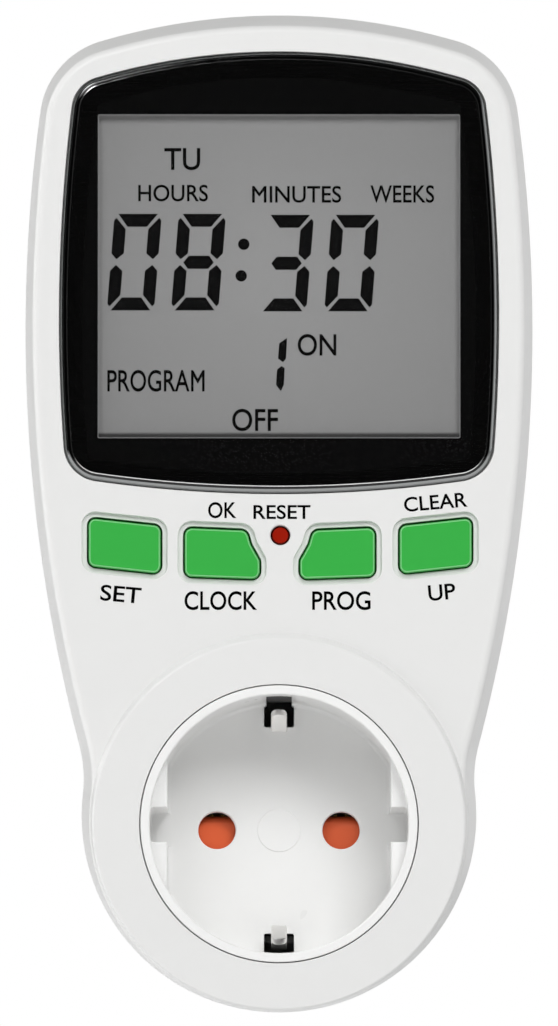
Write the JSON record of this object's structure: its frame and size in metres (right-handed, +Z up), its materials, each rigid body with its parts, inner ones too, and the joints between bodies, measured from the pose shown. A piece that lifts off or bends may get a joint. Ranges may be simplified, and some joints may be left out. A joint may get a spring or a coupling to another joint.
{
  "type": "plug-in timer switch",
  "caption": "Plug-in timer switch: an earthed mains plug behind, a shuttered earthed outlet in front, and a clock with a display and keys above it.",
  "frame": {"origin": "centre of the plug's end face, midway between its two pins", "axes": "+Z up along the case, +X to the right seen from the front, +Y along the plug's pins into the wall; the front face looks along -Y"},
  "size_m": [0.0776, 0.075, 0.1525],
  "materials": {
    "shell_white": "satin moulded ABS",
    "insert_white": "satin moulded thermoset",
    "lens_black": "polished acrylic, printed black behind, clear window",
    "tape_black": "double-sided foam tape",
    "polariser_film": "polarising film",
    "display_glass": "clear cell glass",
    "reflector_film": "grey reflector",
    "frame_grey": "moulded frame",
    "zebra_rubber": "layered conductive rubber",
    "key_green": "satin moulded key",
    "reset_red": "satin moulded button",
    "switch_black": "moulded switch body",
    "plunger_black": "moulded plunger",
    "board_green": "solder-masked glass-epoxy",
    "resin_black": "potting resin",
    "can_metal": "tinned steel can",
    "cell_steel": "nickel-plated cell can",
    "tab_nickel": "nickel strip",
    "relay_black": "sealed relay case",
    "capacitor_yellow": "film capacitor box",
    "sleeve_dark": "shrink sleeve on an aluminium can",
    "varistor_blue": "dipped ceramic disc",
    "resistor_tan": "lacquered resistor",
    "diode_black": "moulded diode",
    "fuse_glass": "clear tube",
    "header_black": "moulded header",
    "pin_brass": "nickel-plated brass, polished",
    "contact_brass": "spring brass",
    "earth_metal": "nickel-plated spring brass",
    "carrier_grey": "moulded carrier",
    "shutter_orange": "moulded shutter",
    "spring_steel": "spring steel",
    "screw_zinc": "zinc-plated steel"
  },
  "bodies": {
    "case": {"backup_cell": "cell_steel", "carrier_screws": "screw_zinc", "case_screws": "screw_zinc", "cell_tabs": "tab_nickel", "clock_crystal": "can_metal", "contact_carrier": "carrier_grey", "controller_drop": "resin_black", "display_frame": "frame_grey", "display_front_glass": "display_glass", "display_lens": "lens_black", "display_polariser": "polariser_film", "display_rear_glass": "display_glass", "display_reflector": "reflector_film", "dropper_resistor": "resistor_tan", "earth_link": "contact_brass", "film_capacitor": "capacitor_yellow", "front_shell": "shell_white", "fuse_caps": "cell_steel", "fuse_tube": "fuse_glass", "insert_screws": "screw_zinc", "key_switches": "switch_black", "lens_adhesive": "tape_black", "link_headers": "header_black", "link_pins": "pin_brass", "live_busbar": "contact_brass", "live_pin": "pin_brass", "live_socket_contact": "contact_brass", "logic_board": "board_green", "logic_board_screws": "screw_zinc", "neutral_busbar": "contact_brass", "neutral_pin": "pin_brass", "neutral_socket_contact": "contact_brass", "plug_earth_sleeve": "earth_metal", "plug_earth_strap": "earth_metal", "power_board": "board_green", "power_board_screws": "screw_zinc", "rear_shell": "shell_white", "rectifier_diodes": "diode_black", "relay": "relay_black", "shutter_spring": "spring_steel", "small_chips": "resin_black", "smoothing_capacitor": "sleeve_dark", "socket_earth_strap": "earth_metal", "socket_insert": "insert_white", "switched_busbar": "contact_brass", "varistor": "varistor_blue", "zebra_strips": "zebra_rubber"},
    "set_key": {"set_key": "key_green", "set_plunger": "plunger_black"},
    "clock_key": {"clock_key": "key_green", "clock_plunger": "plunger_black"},
    "program_key": {"program_key": "key_green", "program_plunger": "plunger_black"},
    "up_key": {"up_key": "key_green", "up_plunger": "plunger_black"},
    "reset": {"reset_button": "reset_red", "reset_plunger": "plunger_black"},
    "shutter": {"safety_shutter": "shutter_orange"}
  },
  "joints": [
    {"name": "set_key_press", "type": "slide", "parent": "case", "child": "set_key", "axis": [0, 1, 0], "range_m": [0, 0.0005], "stiffness_N_per_m": 500, "springref_m": -0.0005},
    {"name": "clock_key_press", "type": "slide", "parent": "case", "child": "clock_key", "axis": [0, 1, 0], "range_m": [0, 0.0005], "stiffness_N_per_m": 500, "springref_m": -0.0005},
    {"name": "program_key_press", "type": "slide", "parent": "case", "child": "program_key", "axis": [0, 1, 0], "range_m": [0, 0.0005], "stiffness_N_per_m": 500, "springref_m": -0.0005},
    {"name": "up_key_press", "type": "slide", "parent": "case", "child": "up_key", "axis": [0, 1, 0], "range_m": [0, 0.0005], "stiffness_N_per_m": 500, "springref_m": -0.0005},
    {"name": "reset_press", "type": "slide", "parent": "case", "child": "reset", "axis": [0, 1, 0], "range_m": [0, 0.0005], "stiffness_N_per_m": 500, "springref_m": -0.0005},
    {"name": "shutter_turn", "type": "hinge", "parent": "case", "child": "shutter", "pos_m": [0, -0.0353, 0], "axis": [0, 1, 0], "range_deg": [0, 40], "stiffness_Nm_per_rad": 0.002, "springref_deg": -11.46, "deforming": ["shutter_spring"]}
  ]
}
